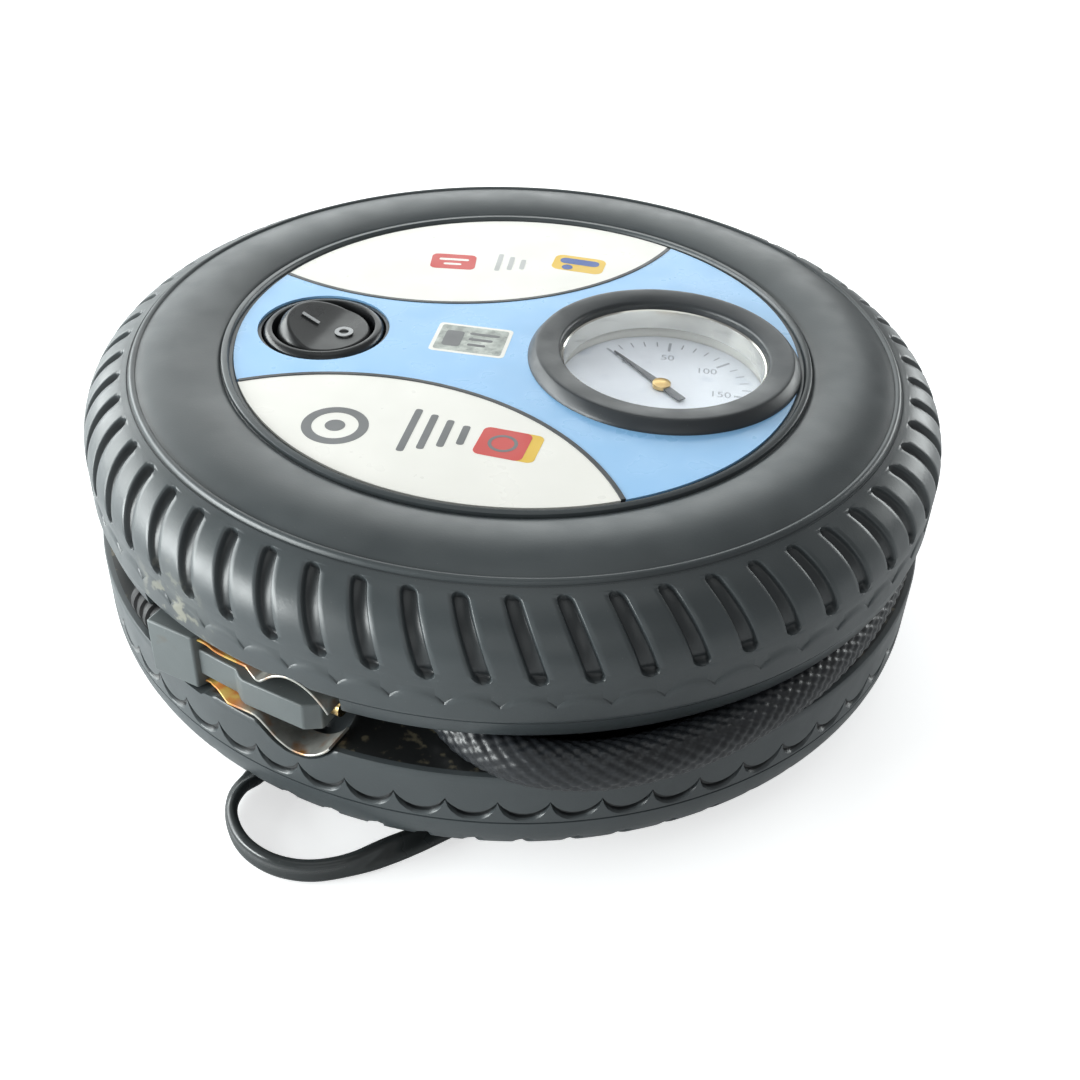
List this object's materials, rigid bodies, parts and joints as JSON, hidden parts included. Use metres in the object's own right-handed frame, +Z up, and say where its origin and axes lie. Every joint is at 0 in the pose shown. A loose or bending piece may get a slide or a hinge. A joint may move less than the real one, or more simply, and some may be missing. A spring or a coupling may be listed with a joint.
{
  "type": "portable tire inflator",
  "caption": "Tire-shaped 12 V air compressor with a label face, rocker switch, pressure gauge, stowed braided hose and car plug.",
  "frame": {"origin": "on the tire's axle at floor level", "axes": "+Z up along the tire's axle, +X from the rocker switch to the gauge"},
  "size_m": [0.157, 0.1622, 0.0589],
  "materials": {
    "shell_plastic": "fine satin black moulded plastic",
    "label_blue": "sky-blue printed film",
    "label_white": "off-white printed film",
    "gauge_black": "smooth black bezel",
    "gauge_metal": "bright spun aluminium",
    "dial_white": "white dial card",
    "clear_lens": "clear window",
    "pointer_black": "black enamel",
    "brass": "machined brass",
    "switch_black": "smooth black nylon",
    "mark_white": "white marking",
    "steel": "zinc-plated steel",
    "rubber_black": "black rubber",
    "casting": "die-cast aluminium",
    "nylon_white": "white nylon",
    "magnet": "ferrite",
    "copper": "enamelled copper and laminations",
    "hose_braid": "black braided sleeve",
    "cord_vinyl": "black vinyl flex",
    "wire_red": "red insulation",
    "plug_grey": "charcoal moulded plastic",
    "contact_rust": "tarnished plated strip"
  },
  "bodies": {
    "housing": {"upper_shell": "shell_plastic", "lower_shell": "shell_plastic", "label_band": "label_blue", "label_far": "label_white", "label_near": "label_white", "gauge_bezel": "gauge_black", "gauge_case": "gauge_metal", "gauge_dial": "dial_white", "gauge_lens": "clear_lens", "gauge_coil": "brass", "gauge_stem": "brass", "switch_body": "switch_black", "switch_tabs": "brass", "feet": "rubber_black", "shell_screws": "steel", "motor_can": "steel", "motor_magnets": "magnet", "motor_cap": "switch_black", "gear_axle": "steel", "pump_frame": "casting", "frame_screws": "steel", "motor_screws": "steel", "pump_cylinder": "casting", "cylinder_head": "casting", "outlet_valve": "rubber_black", "valve_spring": "steel", "head_screws": "steel", "air_tube": "rubber_black", "gauge_pipe": "rubber_black", "hose_fitting": "brass", "hose_grommet": "rubber_black", "air_hose": "hose_braid", "hose_ferrule": "brass", "chuck_body": "switch_black", "chuck_pin": "steel", "chuck_seal": "rubber_black", "power_lead": "cord_vinyl", "lead_grommet": "rubber_black", "switch_wires": "wire_red", "plug_boot": "rubber_black", "plug_body": "plug_grey", "plug_tip_spring": "steel", "plug_fuse": "steel", "plug_screw": "steel"},
    "rocker": {"switch_rocker": "switch_black", "switch_marks": "mark_white"},
    "pointer": {"gauge_pointer": "pointer_black"},
    "rotor": {"motor_rotor": "copper", "pinion": "brass"},
    "crank": {"drive_gear": "nylon_white", "crank_pin": "steel"},
    "piston_set": {"piston": "casting", "piston_cup": "rubber_black", "wrist_pin": "steel"},
    "rod": {"connecting_rod": "nylon_white"},
    "lever": {"chuck_lever": "switch_black"},
    "tip": {"plug_tip": "brass"},
    "contact_upper": {"plug_spring_upper": "contact_rust"},
    "contact_lower": {"plug_spring_lower": "contact_rust"}
  },
  "joints": [
    {"name": "rocker_tip", "type": "hinge", "parent": "housing", "child": "rocker", "pos_m": [-0.0362, -0.0016, 0.0524], "axis": [-0.2079, -0.9781, 0], "range_deg": [0, 24]},
    {"name": "pointer_turn", "type": "hinge", "parent": "housing", "child": "pointer", "pos_m": [0.0269, -0.0016, 0.0505], "axis": [0, 0, -1], "range_deg": [0, 270]},
    {"name": "motor_spin", "type": "hinge", "parent": "housing", "child": "rotor", "pos_m": [-0.009, 0.01, 0.033], "axis": [0, 1, 0], "continuous": true},
    {"name": "crank_spin", "type": "hinge", "parent": "housing", "child": "crank", "pos_m": [0.00486, -0.007, 0.025], "axis": [0, 1, 0], "continuous": true},
    {"name": "piston_stroke", "type": "slide", "parent": "housing", "child": "piston_set", "axis": [1, 0, 0], "range_m": [0, 0.012]},
    {"name": "rod_swing", "type": "hinge", "parent": "piston_set", "child": "rod", "pos_m": [0.02486, -0.0146, 0.025], "axis": [0, 1, 0], "range_deg": [-13, 13]},
    {"name": "lever_open", "type": "hinge", "parent": "housing", "child": "lever", "pos_m": [-0.07564, -0.00533, 0.02885], "axis": [0, 0, 1], "range_deg": [0, 75]},
    {"name": "tip_press", "type": "slide", "parent": "housing", "child": "tip", "axis": [-0.9373, 0.3486, 0], "range_m": [0, 0.0009], "stiffness_N_per_m": 400},
    {"name": "contact_upper_flex", "type": "hinge", "parent": "housing", "child": "contact_upper", "pos_m": [-0.04063, -0.06387, 0.03335], "axis": [0.3486, 0.9373, 0], "range_deg": [0, 2], "stiffness_Nm_per_rad": 0.4},
    {"name": "contact_lower_flex", "type": "hinge", "parent": "housing", "child": "contact_lower", "pos_m": [-0.04063, -0.06387, 0.02435], "axis": [-0.3486, -0.9373, 0], "range_deg": [0, 2], "stiffness_Nm_per_rad": 0.4}
  ],
  "couplings": [
    {"joint": "crank_spin", "follows": "motor_spin", "ratio": -0.33333}
  ]
}
